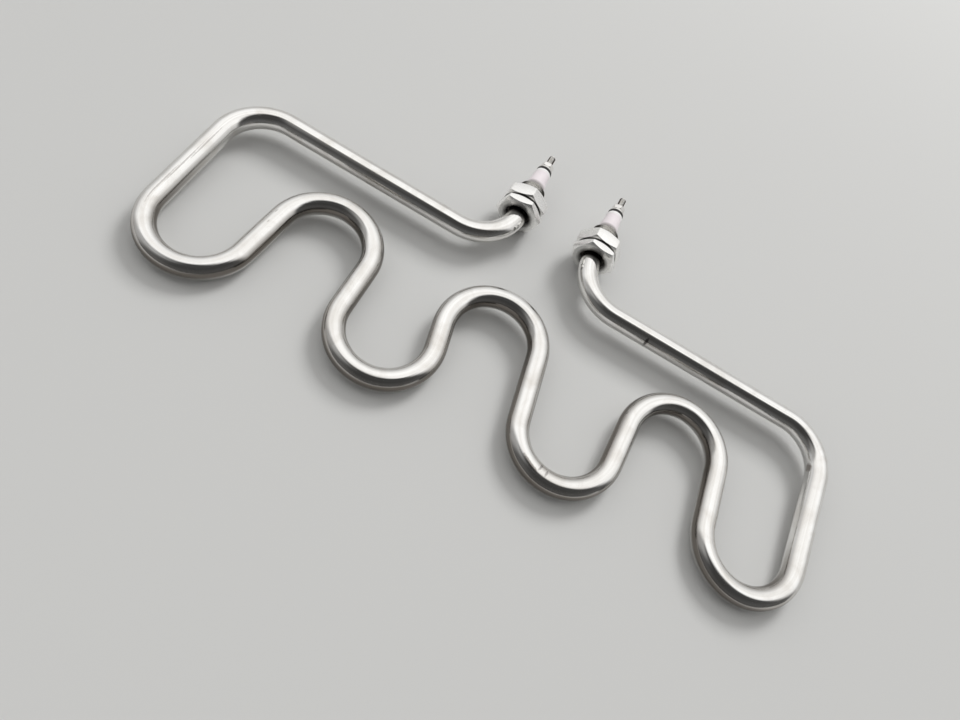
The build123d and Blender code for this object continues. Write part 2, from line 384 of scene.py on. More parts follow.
def evaluated_mesh(base):
    """The mesh that an object's modifiers make of it. The object itself is then removed."""
    graph = bpy.context.evaluated_depsgraph_get()
    made = base.evaluated_get(graph)
    mesh = bpy.data.meshes.new_from_object(made, preserve_all_data_layers=True, depsgraph=graph)
    bpy.data.objects.remove(base)
    return mesh


def shape_with(tree, base, sizes):
    """Runs a geometry tree on an object with these sizes, and gives back the mesh it makes."""
    modifier = base.modifiers.new(tree.name, "NODES")
    modifier.node_group = tree
    for socket in tree.interface.items_tree:
        if socket.in_out == "INPUT" and socket.name in sizes:
            modifier[socket.identifier] = sizes[socket.name]
    return evaluated_mesh(base)


def add_piece(name, mesh, slot, *nodes):
    """Places a finished mesh as a piece of the object that stands for these solids."""
    mesh.name = name
    piece = add_object(name, mesh)
    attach(piece, "root")
    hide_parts(*nodes)
    return piece


def start_effect(name, inputs, outputs):
    """A shader node group for an effect that several finishes use."""
    group = bpy.data.node_groups.new(name, "ShaderNodeTree")
    add_inputs(group, [("Vector", "Vector", None), *inputs])
    for label in outputs:
        group.interface.new_socket(label, in_out="OUTPUT", socket_type="NodeSocketFloat")
    return group, group.nodes.new("NodeGroupInput").outputs, group.nodes.new("NodeGroupOutput").inputs


def use_effect(tree, effect, place, **settings):
    """Puts an effect in a finish with these settings, and gives back its outputs."""
    return add_node(tree, "ShaderNodeGroup", {"Vector": place, **settings}, node_tree=effect).outputs


def drawing_lines_effect():
    """Lines that a drawing die leaves along a bar: fine ones, and broad soft streaks. The vector's
    Z runs along the bar."""
    sizes = [("Fineness", "Float", 2600.0), ("Stretch", "Float", 90.0)]
    group, given, result = start_effect("drawing_lines", sizes, ("Lines", "Streaks"))
    parts = split(group, given["Vector"])
    slowed = combine(group, "DIVIDE", parts["Z"], given["Stretch"])
    pulled = join(group, X=parts["X"], Y=parts["Y"], Z=slowed)
    lines = noise(group, pulled, given["Fineness"], 3.0)
    streaks = noise(group, pulled, times(group, given["Fineness"], 0.22), 2.0)
    group.links.new(spread(group, lines, 0.0, 1.0, 0.3, 0.7), result["Lines"])
    group.links.new(spread(group, streaks, 0.0, 1.0, 0.35, 0.65), result["Streaks"])
    return group


def handling_marks_effect():
    """What handling leaves on bright metal: soft smudges, short scratches and a few small specks."""
    group, given, result = start_effect(
        "handling_marks", [("Scale", "Float", 60.0)], ("Smudges", "Scratches", "Specks")
    )
    place = given["Vector"]
    smudges = noise(group, place, given["Scale"], 4.0, 0.6)
    skewed = {"Vector": place, "Rotation": (0.3, 0.5, 0.7), "Scale": (1.0, 14.0, 3.0)}
    skewed = add_node(group, "ShaderNodeMapping", skewed).outputs["Vector"]
    scratches = noise(group, skewed, times(group, given["Scale"], 5.0), 2.0)
    spots = {"Vector": place, "Scale": times(group, given["Scale"], 3.5)}
    spots = add_node(group, "ShaderNodeTexVoronoi", spots).outputs["Distance"]
    group.links.new(spread(group, smudges, 0.0, 1.0, 0.45, 0.72), result["Smudges"])
    group.links.new(spread(group, scratches, 0.0, 1.0, 0.66, 0.72), result["Scratches"])
    group.links.new(spread(group, spots, 1.0, 0.0, 0.03, 0.075), result["Specks"])
    return group


drawing_lines = drawing_lines_effect()
handling_marks = handling_marks_effect()


# Each mark, or piece of a painted line: its place across, up and along the straight bar, its
# reach, its tint and its depth
marks_and_painted_line = [
    ((0.0024, 0.0054, 0.7258), (0.0030, 0.0020, 0.0009), (0.22, 0.21, 0.20, 1), 0.6),
    ((0.0012, 0.0058, 0.7300), (0.0022, 0.0020, 0.0008), (0.22, 0.21, 0.20, 1), 0.6),
    ((-0.0012, 0.0058, 0.7205), (0.0011, 0.0018, 0.0062), (0.14, 0.12, 0.10, 1), 0.7),
    ((0.0058, 0.0012, 1.0440), (0.0020, 0.0024, 0.0034), (0.20, 0.15, 0.12, 1), 0.6),
    ((0.0054, 0.0026, 1.1690), (0.0022, 0.0040, 0.0011), (0.06, 0.05, 0.05, 1), 0.85),
    # These three join into one thin dark line along the top of the left run: a painted reflection of a
    # dark gap between lights, not a mark on the steel
    ((0.0018, 0.0057, 0.2260), (0.0005, 0.0030, 0.0150), (0.34, 0.32, 0.30, 1), 0.55),
    ((0.0009, 0.0059, 0.2425), (0.0005, 0.0030, 0.0160), (0.34, 0.32, 0.30, 1), 0.55),
    ((0.0001, 0.0060, 0.2590), (0.0005, 0.0030, 0.0150), (0.34, 0.32, 0.30, 1), 0.55),
    ((0.0016, 0.0058, 0.3705), (0.0005, 0.0008, 0.0014), (0.30, 0.27, 0.24, 1), 0.4),
    ((0.0005, 0.0060, 0.3630), (0.0004, 0.0008, 0.0010), (0.30, 0.27, 0.24, 1), 0.4),
]
# Each coat of tarnish and painted dark reflection: its depth, the heights up the tube where it
# starts and is full, its tint
tarnish_and_shade_coats = (
    (0.55, 0.0055, 0.0033, (0.22, 0.19, 0.165, 1)),
    (0.75, 0.0037, 0.0027, (0.08, 0.065, 0.05, 1)),
)
# The heights between which the tarnish and painted reflection come in
tarnish_and_shade_foot = (-0.0014, 0.0008)
# Places along the tube, from clean to darkened. The last pair is painted shade on the tube next
# to each inner nut
tarnish_and_shade_from_left = (0.215, 0.275)
tarnish_and_shade_from_right = (sheath_length - 0.255, sheath_length - 0.290)
shaded_ends = ((0.0262, 0.0245), (sheath_length - 0.0262, sheath_length - 0.0245))


def kept_place(tree, name):
    """The place that a mesh keeps under a name, for its finish to follow."""
    return add_node(tree, "ShaderNodeAttribute", attribute_name=name).outputs["Vector"]


def mark_at(tree, place, middle, reach, wobble):
    """A ragged spot round one place on the bar: 1 in its middle and 0 outside its reach."""
    off = vector(tree, "DIVIDE", vector(tree, "SUBTRACT", place, middle), reach)
    off = combine(tree, "ADD", vector(tree, "LENGTH", off), times(tree, wobble, 0.9))
    return spread(tree, off, 1.0, 0.0, 1.0, 1.5)


def sheath_steel():
    bright_steel = (0.93, 0.925, 0.91, 1)
    dull_steel = (0.80, 0.785, 0.76, 1)
    warm_grey = (0.52, 0.47, 0.41, 1)
    finish, tree, surface = start_finish("sheath_steel", 1.0)
    place = kept_place(tree, "drawn_place")
    drawing = use_effect(tree, drawing_lines, place, Fineness=2400.0, Stretch=120.0)
    marks = use_effect(tree, handling_marks, place, Scale=75.0)
    steel = blend(tree, drawing["Streaks"], bright_steel, dull_steel)
    steel = blend(tree, times(tree, marks["Smudges"], 0.35), steel, warm_grey)
    steel = blend(tree, times(tree, marks["Specks"], 0.3), steel, warm_grey)
    ragged = noise(tree, place, 900.0, 3.0)
    # Marks, and the painted dark line of reflection along the left run
    for middle, reach, tint, depth in marks_and_painted_line:
        mark = mark_at(tree, place, middle, reach, ragged)
        steel = blend(tree, times(tree, mark, depth), steel, tint)
    parts = split(tree, place)
    up = parts["Y"]
    along = parts["Z"]
    # The sides of the loops are darkened, most of all in a band just above their middle: partly
    # tarnish, and partly painted reflection that stands in for dark surroundings for them to mirror
    on_loops = times(
        tree,
        spread(tree, along, 0.0, 1.0, *tarnish_and_shade_from_left),
        spread(tree, along, 0.0, 1.0, *tarnish_and_shade_from_right),
    )
    on_sides = times(tree, on_loops, spread(tree, up, 0.0, 1.0, *tarnish_and_shade_foot))
    for depth, clean, darkest, tint in tarnish_and_shade_coats:
        tarnish_and_shade = times(tree, spread(tree, up, 0.0, depth, clean, darkest), on_sides)
        steel = blend(tree, tarnish_and_shade, steel, tint)
    # Painted shade on the tube next to each inner nut
    for clean, shaded in shaded_ends:
        end_shade = times(tree, spread(tree, along, 0.0, 1.0, clean, shaded), 0.92)
        steel = blend(tree, end_shade, steel, (0.06, 0.055, 0.05, 1))
    rough = spread(tree, drawing["Lines"], 0.07, 0.14)
    rough = combine(tree, "ADD", rough, times(tree, marks["Smudges"], 0.07))
    rough = combine(tree, "ADD", rough, times(tree, marks["Scratches"], 0.06))
    height = combine(tree, "ADD", times(tree, drawing["Lines"], 0.35), drawing["Streaks"])
    dress(tree, surface, steel, rough, height, 0.5, 0.00005)
    return finish


drawn_bar = drawn_bar_tree()
sheath_corners = bend_corners((-fitting_x, sheath_end), bend_centres, (fitting_x, sheath_end))
sheath_mesh = shape_with(
    drawn_bar,
    corner_line("sheath_line", sheath_corners),
    {
        "Bend Radius": bend_radius,
        "Bar Radius": sheath_radius,
        "Wall": sheath_wall,
        "Hollow": True,
        "Step": sheath_step,
        "Around": sheath_around,
        "Flattening": 0.008,
        "Unevenness": 0.018,
        "Finish": sheath_steel(),
    },
)
add_piece("sheath", sheath_mesh, "sheath_steel", "sheath_tube")

# ---------------------------------------------------------------------------------------------
# Terminal pins. Plated steel, 4 mm thick, bent along with the sheath. Each stands out of its
# insulator with a rolled M4 thread and a rounded tip. The thread is a little darker in its
# grooves, and the left and right sides carry painted dark reflection.
# ---------------------------------------------------------------------------------------------
pin_radius = 0.0020
pin_tip = 0.0465
pin_tip_rounding = 0.0007
pin_tip_steps = 6
pin_tip_flat = 0.0006
pin_thread_start = 0.0330
pin_thread_pitch = 0.0007
pin_thread_depth = 0.00020
pin_join = 0.0200
pin_run_end = 0.0550
pin_step = 0.0013
pin_around = 32
back_run_y = -0.0325
# The left and right sides are painted dark, in place of dark surroundings for them to mirror. It
# starts and is full at these places, each the square of a distance from the middle
pin_side_shade = (9.0e-7, 2.4e-6)
pin_thread_overrun = 0.0001
# An edge sharper than this stays crisp, and the others are smooth
crisp_angle = radians(38)


def fine_run(radius, start, end, step):
    """Points up one side of a turned outline, close enough together to cut a thread in."""
    count = max(2, round(abs(end - start) / step))
    return [(radius, start + (end - start) * index / count, 0) for index in range(count + 1)]


def ease_outline(corners, steps=4):
    """Rounds the corners of a closed outline. Each corner is (radius, height, rounding)."""
    eased = []
    for index, (radius, height, rounding) in enumerate(corners):
        corner = Vector((radius, height))
        if not rounding:
            eased.append(corner)
            continue
        before = Vector(corners[index - 1][:2])
        after = Vector(corners[(index + 1) % len(corners)][:2])
        start = corner + (before - corner).normalized() * rounding
        end = corner + (after - corner).normalized() * rounding
        for step in range(steps + 1):
            share = step / steps
            eased.append(start * (1 - share) ** 2 + corner * 2 * share * (1 - share) + end * share**2)
    return eased


def keep_axis_place(mesh, x):
    """Keeps each point's place from the fitting's axis, for the marks of turning to follow."""
    places = mesh.attributes.new("from_axis", "FLOAT_VECTOR", "POINT")
    for vertex, place in zip(mesh.vertices, places.data):
        place.vector = (vertex.co.x - x, vertex.co.y, vertex.co.z)


def spin_outline(x, outline, around, closed=True):
    """Turns an outline of (radius, height) round the fitting's axis. A point on the axis is one
    vertex, so that the end is closed without a hole."""
    shape = bmesh.new()
    rings = []
    for radius, height in outline:
        if radius < 1e-7:
            rings.append([shape.verts.new((x, height, 0))] * around)
            continue
        ring = []
        for index in range(around):
            angle = 2 * pi * index / around
            ring.append(shape.verts.new((x + radius * cos(angle), height, radius * sin(angle))))
        rings.append(ring)
    pairs = list(pairwise(rings))
    if closed:
        pairs.append((rings[-1], rings[0]))
    for low, high in pairs:
        for index in range(around):
            after = (index + 1) % around
            corners = [low[index], low[after], high[after], high[index]]
            corners = [corner for place, corner in enumerate(corners) if corner not in corners[:place]]
            if len(corners) > 2:
                shape.faces.new(corners)
    return shape


def plain_mesh(name, shape, x):
    """Keeps a built shape as a mesh, smooth except at its crisp edges."""
    bmesh.ops.recalc_face_normals(shape, faces=shape.faces)
    mesh = bpy.data.meshes.new(name)
    shape.to_mesh(mesh)
    shape.free()
    mesh.shade_smooth()
    mesh.set_sharp_from_angle(angle=crisp_angle)
    keep_axis_place(mesh, x)
    return mesh


def from_axis(tree, parts):
    """The spoke from a fitting's axis to a place whose parts are given, and its length."""
    spoke = join(tree, X=parts["X"], Z=parts["Z"])
    return spoke, vector(tree, "LENGTH", spoke)


def cut_thread_tree():
    """Cuts a helical thread in the round wall of a turned piece, from one station to another.
    Inside cuts it outwards into a hole's wall. A chamfer that is already there stays."""
    tree, given = start_shape_tree(
        "cut_thread",
        [
            ("Axis X", "Float", 0.0),
            ("From", "Float", 0.0),
            ("To", "Float", 0.01),
            ("Pitch", "Float", 0.0015),
            ("Wall Radius", "Float", 0.008),
            ("Depth", "Float", 0.0009),
            ("Inside", "Bool", False),
        ],
    )
    wall = given["Wall Radius"]
    parts = split(tree, add_node(tree, "GeometryNodeInputPosition").outputs[0])
    off_axis = combine(tree, "SUBTRACT", parts["X"], given["Axis X"])
    spoke, radius = from_axis(tree, {"X": off_axis, "Z": parts["Z"]})
    turns = combine(tree, "DIVIDE", combine(tree, "ARCTAN2", parts["Z"], off_axis), 2 * pi)
    phase = combine(tree, "ADD", combine(tree, "DIVIDE", parts["Y"], given["Pitch"]), turns)
    phase = combine(tree, "FRACT", phase)
    slope = combine(tree, "ABSOLUTE", combine(tree, "SUBTRACT", times(tree, phase, 2.0), 1.0))
    cut = times(tree, spread(tree, slope, 0.0, 1.0, 0.14, 0.86), given["Depth"])
    new_radius = {
        "Switch": given["Inside"],
        "False": combine(tree, "MINIMUM", radius, combine(tree, "SUBTRACT", wall, cut)),
        "True": combine(tree, "MAXIMUM", radius, combine(tree, "ADD", wall, cut)),
    }
    new_radius = add_node(tree, "GeometryNodeSwitch", new_radius, input_type="FLOAT").outputs["Output"]
    ratio = combine(tree, "DIVIDE", new_radius, radius)
    shift = vector(tree, "SCALE", spoke, scale=combine(tree, "SUBTRACT", ratio, 1.0))

    near = combine(tree, "ABSOLUTE", combine(tree, "SUBTRACT", radius, wall))
    near = combine(tree, "LESS_THAN", near, times(tree, given["Depth"], 1.25))
    past_start = combine(tree, "GREATER_THAN", parts["Y"], given["From"])
    before_end = combine(tree, "LESS_THAN", parts["Y"], given["To"])
    chosen = times(tree, near, times(tree, past_start, before_end))
    threaded = {"Geometry": given["Geometry"], "Selection": chosen, "Offset": shift}
    threaded = add_node(tree, "GeometryNodeSetPosition", threaded).outputs["Geometry"]
    end_shape_tree(tree, given, threaded)
    return tree


cut_thread = cut_thread_tree()


def thread_mesh(name, blank, x, start, end, pitch, wall_radius, depth, inside, finish):
    """Cuts a thread in a turned mesh, from one station to another, and finishes it."""
    sizes = {"Axis X": x, "From": start, "To": end, "Pitch": pitch, "Wall Radius": wall_radius}
    sizes |= {"Depth": depth, "Inside": inside, "Finish": finish}
    return shape_with(cut_thread, add_object(name, blank), sizes)


def pin_steel():
    finish, tree, surface = start_finish("pin_steel", 1.0)
    place = kept_place(tree, "from_axis")
    marks = use_effect(tree, handling_marks, place, Scale=420.0)
    parts = split(tree, place)
    radius = from_axis(tree, parts)[1]
    # The thread is a little darker in its grooves, and the left and right sides carry painted dark
    # reflection
    in_groove = spread(tree, radius, 1.0, 0.0, pin_radius - pin_thread_depth, pin_radius - 0.00008)
    on_sides = spread(tree, times(tree, parts["X"], parts["X"]), 0.0, 0.97, *pin_side_shade)
    groove_dark_and_shade = combine(tree, "MAXIMUM", times(tree, in_groove, 0.12), on_sides)
    steel = blend(tree, marks["Smudges"], (0.98, 0.97, 0.94, 1), (0.84, 0.80, 0.74, 1))
    steel = blend(tree, groove_dark_and_shade, steel, (0.07, 0.05, 0.04, 1))
    dress(tree, surface, steel, spread(tree, groove_dark_and_shade, 0.2, 0.5))
    return finish


pin_finish = pin_steel()
for side, x in sides:
    rounding_start = pin_tip - pin_tip_rounding
    stud_outline = fine_run(pin_radius, pin_join, pin_thread_start, 0.002)[:-1]
    stud_outline += fine_run(pin_radius, pin_thread_start, rounding_start, 0.00006)
    stud_outline = [Vector(point[:2]) for point in stud_outline]
    for step in range(1, pin_tip_steps + 1):
        angle = step / pin_tip_steps * pi / 2
        radius = pin_radius - pin_tip_rounding * (1 - cos(angle))
        stud_outline.append(Vector((radius, pin_tip - pin_tip_rounding * (1 - sin(angle)))))
    stud_outline += [Vector((pin_tip_flat, pin_tip)), Vector((0.0, pin_tip))]
    stud = plain_mesh("stud", spin_outline(x, stud_outline, pin_around, closed=False), x)
    thread_end = pin_tip + pin_thread_overrun
    thread = (pin_thread_start, thread_end, pin_thread_pitch, pin_radius, pin_thread_depth)
    stud = thread_mesh("stud", stud, x, *thread, False, pin_finish)
    run_end = pin_run_end if x > 0 else -pin_run_end
    pin_corners = [(x, pin_join, 0), (x, back_run_y, 0), (run_end, back_run_y, 0)]
    shank = shape_with(
        drawn_bar,
        corner_line("pin_line", [Vector(corner) for corner in pin_corners]),
        {
            "Bend Radius": bend_radius,
            "Bar Radius": pin_radius,
            "Hollow": False,
            "Step": pin_step,
            "Around": pin_around,
            "Finish": pin_finish,
        },
    )
    whole = bmesh.new()
    whole.from_mesh(stud)
    whole.from_mesh(shank)
    bmesh.ops.remove_doubles(whole, verts=whole.verts, dist=0.00002)
    open_edges = [edge for edge in whole.edges if edge.is_boundary]
    bmesh.ops.holes_fill(whole, edges=open_edges, sides=0)
    pin_mesh = plain_mesh("pin", whole, x)
    pin_mesh.materials.append(pin_finish)
    add_piece(f"{side}_pin", pin_mesh, "pin_steel", f"{side}_terminal_pin")

# ---------------------------------------------------------------------------------------------
# End seals. Red-brown silicone resin, cast on the powder in each mouth of the tube to keep damp
# out of it. The insulator's spigot covers it.
# ---------------------------------------------------------------------------------------------


def sealing_resin():
    finish, tree, surface = start_finish("sealing_resin", 0.0, 0.4)
    cast = noise(tree, object_place(tree), 900.0, 2.0)
    resin = blend(tree, cast, (0.36, 0.12, 0.07, 1), (0.24, 0.07, 0.045, 1))
    dress(tree, surface, resin, spread(tree, cast, 0.3, 0.55))
    return finish


resin_finish = sealing_resin()
for side, x in sides:
    finish_node(f"{side}_end_seal", resin_finish)

# ---------------------------------------------------------------------------------------------
# Threaded sleeves. Turned from bright stainless bar, threaded M16 x 1.5 from end to end and
# brazed on the sheath. Each end is faced and chamfered.
# ---------------------------------------------------------------------------------------------
sleeve_radius = 0.0080
sleeve_bore = 0.00605
sleeve_start = -0.0045
sleeve_end = 0.0165
sleeve_chamfer = 0.0010
sleeve_pitch = 0.0015
sleeve_depth = 0.00086
sleeve_thread_inset = sleeve_chamfer * 0.2
# The sleeves' left and right sides are painted dark in the same way as the pins'
sleeve_side_shade = (1.0e-5, 3.8e-5)
# Where the painted shade on the sleeve's end inside the inner nut is full, and how far it fades
end_shade_edge = -0.0035
end_shade_fade = 0.0012


def turning_marks_effect():
    """Rings that a lathe tool leaves on a turned face or wall. The vector is the place from the
    axis, with Y along it."""
    group, given, result = start_effect(
        "turning_marks", [("Rings", "Float", 9000.0)], ("Marks", "Bands")
    )
    parts = split(group, given["Vector"])
    swirl = join(group, X=from_axis(group, parts)[1], Y=parts["Y"])
    fine = noise(group, swirl, given["Rings"], 3.0)
    bands = noise(group, swirl, times(group, given["Rings"], 0.12), 1.0)
    group.links.new(spread(group, fine, 0.0, 1.0, 0.3, 0.7), result["Marks"])
    group.links.new(spread(group, bands, 0.0, 1.0, 0.35, 0.65), result["Bands"])
    return group


turning_marks = turning_marks_effect()


def turned_steel(name, bright, dull, rings, roughness, dark_radii=None, shaded=False, seam=None):
    """Bright turned metal. It is darkened from one of the dark radii inwards to the other: in a
    sleeve's thread this makes darker grooves, and round a wall nut's hole it is painted shade. A
    shaded piece carries painted dark reflection on its sides and painted shade at its end inside the
    inner nut. A seam is darkened on both sides of its station with painted shade, as in the gap
    between the nuts."""
    finish, tree, surface = start_finish(name, 1.0)
    place = kept_place(tree, "from_axis")
    turning = use_effect(tree, turning_marks, place, Rings=rings)
    marks = use_effect(tree, handling_marks, place, Scale=190.0)
    steel = blend(tree, times(tree, turning["Bands"], 0.5), bright, dull)
    steel = blend(tree, times(tree, marks["Smudges"], 0.45), steel, dull)
    steel = blend(tree, times(tree, marks["Specks"], 0.5), steel, (0.35, 0.31, 0.27, 1))
    if dark_radii:
        parts = split(tree, place)
        # Darker inwards between the dark radii: a thread's grooves on a sleeve, painted shade round the
        # hole on a wall nut
        groove_dark_and_shade = spread(tree, from_axis(tree, parts)[1], 1.0, 0.0, *dark_radii)
        groove_dark_and_shade = times(tree, groove_dark_and_shade, spread(tree, marks["Smudges"], 0.80, 0.95))
        if shaded:
            # Painted dark reflection on the left and right sides
            on_sides = times(tree, parts["X"], parts["X"])
            on_sides = spread(tree, on_sides, 0.0, 0.94, *sleeve_side_shade)
            groove_dark_and_shade = combine(tree, "MAXIMUM", times(tree, groove_dark_and_shade, 0.4), on_sides)
            # Painted shade at the end that sits inside the inner nut
            end_shade = spread(tree, parts["Y"], 1.0, 0.0, end_shade_edge, end_shade_edge + end_shade_fade)
            groove_dark_and_shade = combine(tree, "MAXIMUM", groove_dark_and_shade, times(tree, end_shade, 0.97))
        if seam is not None:
            # Painted shade on both sides of the gap between the nuts
            off_seam = combine(tree, "ABSOLUTE", combine(tree, "SUBTRACT", parts["Y"], seam))
            off_seam = spread(tree, off_seam, 0.95, 0.0, 0.0007, 0.0010)
            groove_dark_and_shade = combine(tree, "MAXIMUM", groove_dark_and_shade, off_seam)
        steel = blend(tree, groove_dark_and_shade, steel, (0.04, 0.035, 0.03, 1))
    rough = spread(tree, turning["Marks"], roughness - 0.05, roughness + 0.05)
    rough = combine(tree, "ADD", rough, times(tree, marks["Smudges"], 0.08))
    dress(tree, surface, steel, rough, turning["Marks"], 0.25, 0.00002)
    return finish


# The sleeves are darker in their thread's grooves, and carry painted shade on their left and right sides
# and at their end inside the inner nut
sleeve_finish = turned_steel(
    "sleeve_steel",
    (0.84, 0.83, 0.80, 1),
    (0.62, 0.59, 0.55, 1),
    9000.0,
    0.24,
    dark_radii=(sleeve_radius - sleeve_depth, sleeve_radius + 0.0001),
    shaded=True,
)
for side, x in sides:
    sleeve_corners = [
        (sleeve_bore, sleeve_start, 0.00015),
        (sleeve_radius - sleeve_chamfer, sleeve_start, 0.00012),
        *fine_run(sleeve_radius, sleeve_start + sleeve_chamfer, sleeve_end - sleeve_chamfer, 0.0001),
        (sleeve_radius - sleeve_chamfer, sleeve_end, 0.00012),
        (sleeve_bore, sleeve_end, 0.00015),
    ]
    blank = plain_mesh("sleeve", spin_outline(x, ease_outline(sleeve_corners), 72), x)
    thread_start = sleeve_start + sleeve_thread_inset
    thread_end = sleeve_end - sleeve_thread_inset
    thread = (thread_start, thread_end, sleeve_pitch, sleeve_radius, sleeve_depth)
    sleeve_mesh = thread_mesh("sleeve", blank, x, *thread, False, sleeve_finish)
    add_piece(f"{side}_sleeve", sleeve_mesh, "fitting_steel", f"{side}_threaded_sleeve")

# ---------------------------------------------------------------------------------------------
# Wall nuts. Bright hexagon nuts, 24 mm across flats, chamfered on both faces: a thin one on the
# heated side of the wall and a thick one on the terminal side of each sleeve.
# ---------------------------------------------------------------------------------------------
wall_nut_flats = 0.0240
wall_nut_face = 0.0228
wall_nut_countersink = 0.0004
wall_nut_hole = sleeve_radius - sleeve_depth + 0.0001
wall_nut_easing = 0.00022
wall_nut_rows = 30
wall_nut_thread_inset = 0.0002
gasket_thickness = 0.0010
# Each nut: its name, its axis, where it starts, its thickness and the angle of a corner
wall_nuts = [
    ("left_inner_nut", -fitting_x, -0.0060, 0.0050, 10.0),
    ("left_outer_nut", -fitting_x, 0.0, 0.0085, 20.0),
    ("right_inner_nut", fitting_x, -0.0060, 0.0050, -7.0),
    ("right_outer_nut", fitting_x, 0.0, 0.0085, -7.0),
]


def hexagon_nut(name, x, start, thickness, flats, face, hole, countersink, corner_angle, rows, easing):
    """A hexagon nut with 30 degree chamfers and a countersunk hole. Its edges are eased, and its
    hole has enough rows to cut a thread in."""
    columns = 96
    chamfer_rise = tan(radians(30))
    shape = bmesh.new()
    lines = []
    for column in range(columns):
        angle = 2 * pi * column / columns
        off_flat = (angle + pi / 6) % (pi / 3) - pi / 6
        rim = flats / 2 / cos(off_flat)
        turned = angle + radians(corner_angle) + pi / 6
        drop = (rim - face / 2) * chamfer_rise
        outline = [
            (hole + countersink, 0.0),
            (face / 2, 0.0),
            (rim, drop),
            (rim, thickness - drop),
            (face / 2, thickness),
            (hole + countersink, thickness),
        ]
        row_height = (thickness - 2 * countersink) / rows
        bore = fine_run(hole, thickness - countersink, countersink, row_height)
        outline += [point[:2] for point in bore]
        line = []
        for radius, height in outline:
            line.append(shape.verts.new((x + radius * cos(turned), start + height, radius * sin(turned))))
        lines.append(line)
    for line, beside in pairwise(lines + lines[:1]):
        for low in range(len(line)):
            high = (low + 1) % len(line)
            shape.faces.new((line[low], line[high], beside[high], beside[low]))
    blank = add_object(name, plain_mesh(name, shape, x))
    easing_cut = blank.modifiers.new("easing", "BEVEL")
    easing_cut.width = easing
    easing_cut.segments = 3
    easing_cut.limit_method = "ANGLE"
    easing_cut.angle_limit = radians(24)
    mesh = evaluated_mesh(blank)
    mesh.set_sharp_from_angle(angle=crisp_angle)
    keep_axis_place(mesh, x)
    return mesh


# The wall nuts carry painted shade round the hole, where the tube goes into the nut, and on both faces
# beside the gasket, where the gap between the nuts is
wall_nut_finish = turned_steel(
    "wall_nut_steel",
    (0.98, 0.975, 0.96, 1),
    (0.90, 0.885, 0.86, 1),
    5200.0,
    0.27,
    dark_radii=(sleeve_radius - 0.0002, sleeve_radius + 0.0018),
    seam=-gasket_thickness / 2,
)
for name, x, start, thickness, corner_angle in wall_nuts:
    sizes = (wall_nut_flats, wall_nut_face, wall_nut_hole, wall_nut_countersink)
    blank = hexagon_nut(name, x, start, thickness, *sizes, corner_angle, wall_nut_rows, wall_nut_easing)
    thread_start = start + wall_nut_thread_inset
    thread_end = start + thickness - wall_nut_thread_inset
    thread = (thread_start, thread_end, sleeve_pitch, wall_nut_hole, sleeve_depth)
    nut_mesh = thread_mesh(name, blank, x, *thread, True, wall_nut_finish)
    add_piece(f"{name}_piece", nut_mesh, "fitting_steel", name)

# ---------------------------------------------------------------------------------------------
# Gaskets. Black rubber rings, cut from sheet, between each inner nut and the wall. The pull of
# the nuts makes their rims stand out a little round.
# ---------------------------------------------------------------------------------------------
gasket_outer = 0.0113
gasket_inner = 0.00805


def black_rubber():
    finish, tree, surface = start_finish("black_rubber", 0.0, 0.6)
    place = kept_place(tree, "from_axis")
    grain = noise(tree, place, 2600.0, 3.0)
    bloom = noise(tree, place, 240.0, 3.0)
    rubber = blend(tree, bloom, (0.012, 0.012, 0.012, 1), (0.040, 0.038, 0.036, 1))
    dress(tree, surface, rubber, spread(tree, grain, 0.45, 0.75), grain, 0.4, 0.00005)
    return finish


def add_turned_pieces(name, corners, around, finish, slot, node, steps=4):
    """Turns one outline into a piece on each fitting."""
    for side, x in sides:
        mesh = plain_mesh(name, spin_outline(x, ease_outline(corners, steps), around), x)
        mesh.materials.append(finish)
        add_piece(f"{side}_{name}", mesh, slot, f"{side}_{node}")


rubber_finish = black_rubber()
gasket_corners = [
    (gasket_inner, -gasket_thickness, 0.0001),
    (gasket_outer, -gasket_thickness, 0.0003),
    (gasket_outer, 0.0, 0.0003),
    (gasket_inner, 0.0, 0.0001),
]
add_turned_pieces("gasket", gasket_corners, 72, rubber_finish, "gasket_rubber", "sealing_gasket")

# ---------------------------------------------------------------------------------------------
# Insulators. Steatite, pressed, turned and fired to a faintly pink white. A spigot sits in the
# mouth of the tube, and the body tapers to a rounded rim that the washers are pulled down on.
# ---------------------------------------------------------------------------------------------
insulator_start = 0.0175
insulator_length = 0.0150
insulator_end = insulator_start + insulator_length - 0.0008
insulator_base = 0.0059
insulator_top = 0.0048
spigot_radius = 0.00515
spigot_length = 0.0040
pin_hole = 0.00205
# How far from the top the rim grows paler, as a painted highlight on its rounded edge, and how far
# up from the wall the foot is darkened with painted shade
insulator_rim_highlight = (0.0038, 0.0022)
insulator_foot_shade = (0.0010, 0.0030)


